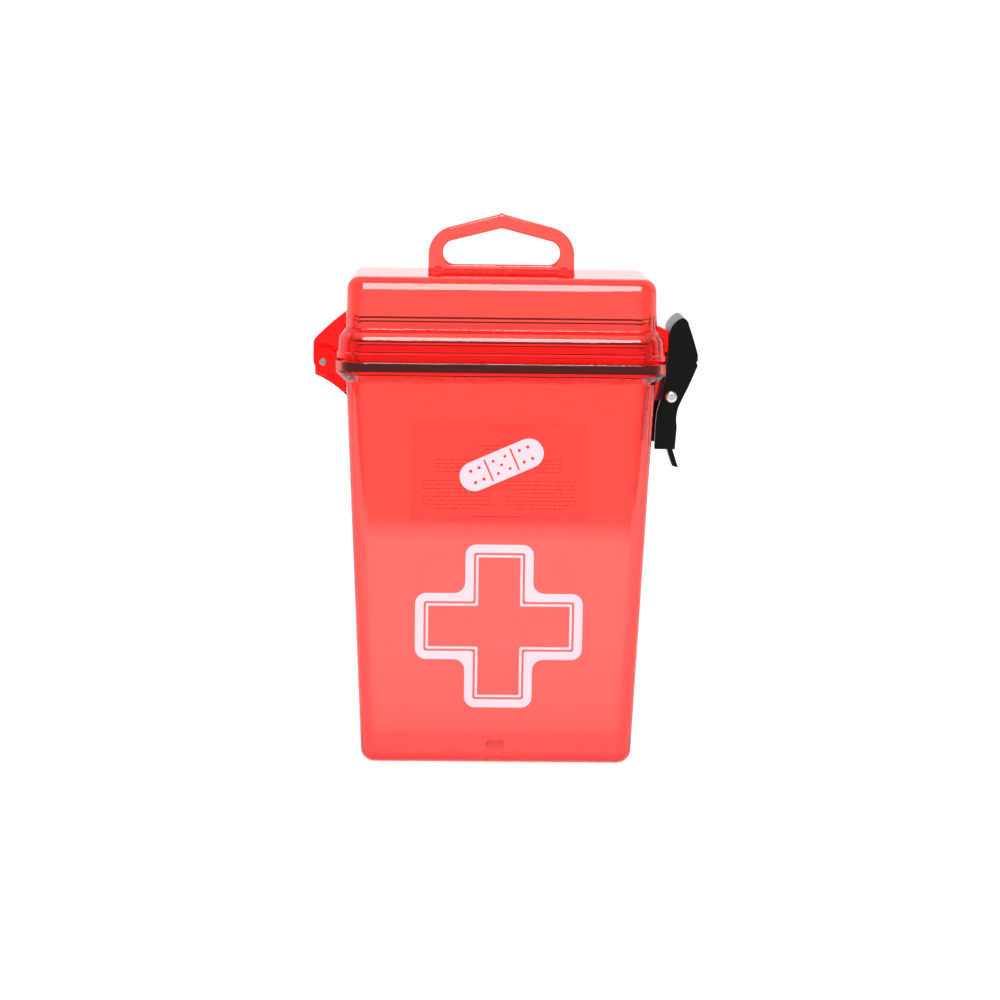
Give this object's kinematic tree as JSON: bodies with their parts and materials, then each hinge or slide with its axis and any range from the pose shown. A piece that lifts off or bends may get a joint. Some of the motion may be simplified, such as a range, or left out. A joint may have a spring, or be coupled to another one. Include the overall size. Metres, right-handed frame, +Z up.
{
  "type": "first aid kit",
  "caption": "Tall clear-plastic first aid dry box with a side-hinged lid, gasket seal, rocker latch on a rivet and a hanger loop on top.",
  "frame": {"origin": "centre of the flat underside of the case", "axes": "+Z up towards the hanger loop, +X towards the latch, -Y the printed front"},
  "size_m": [0.1266, 0.0544, 0.1822],
  "materials": {
    "clear_red": "clear transparent red polycarbonate, polished",
    "gasket_rubber": "matt black soft rubber",
    "latch_black": "satin black moulded plastic with a fine grain",
    "pin_steel": "plain drawn stainless steel",
    "rivet_steel": "bright nickel plated, domed heads",
    "label_film": null,
    "ink_white": "white screen-printed ink"
  },
  "bodies": {
    "case": {"case_body": "clear_red", "gasket": "gasket_rubber", "hinge_pin": "pin_steel", "latch_rivet": "rivet_steel", "back_label": "label_film"},
    "lid": {"lid": "clear_red"},
    "latch": {"latch_lever": "latch_black"}
  },
  "joints": [
    {"name": "lid_hinge", "type": "hinge", "parent": "case", "child": "lid", "pos_m": [-0.05825, 0, 0.1332], "axis": [0, -1, 0], "range_deg": [0, 120]},
    {"name": "latch_pivot", "type": "hinge", "parent": "case", "child": "latch", "pos_m": [0.05633, 0, 0.123], "axis": [0, 1, 0], "range_deg": [0, 5]}
  ]
}
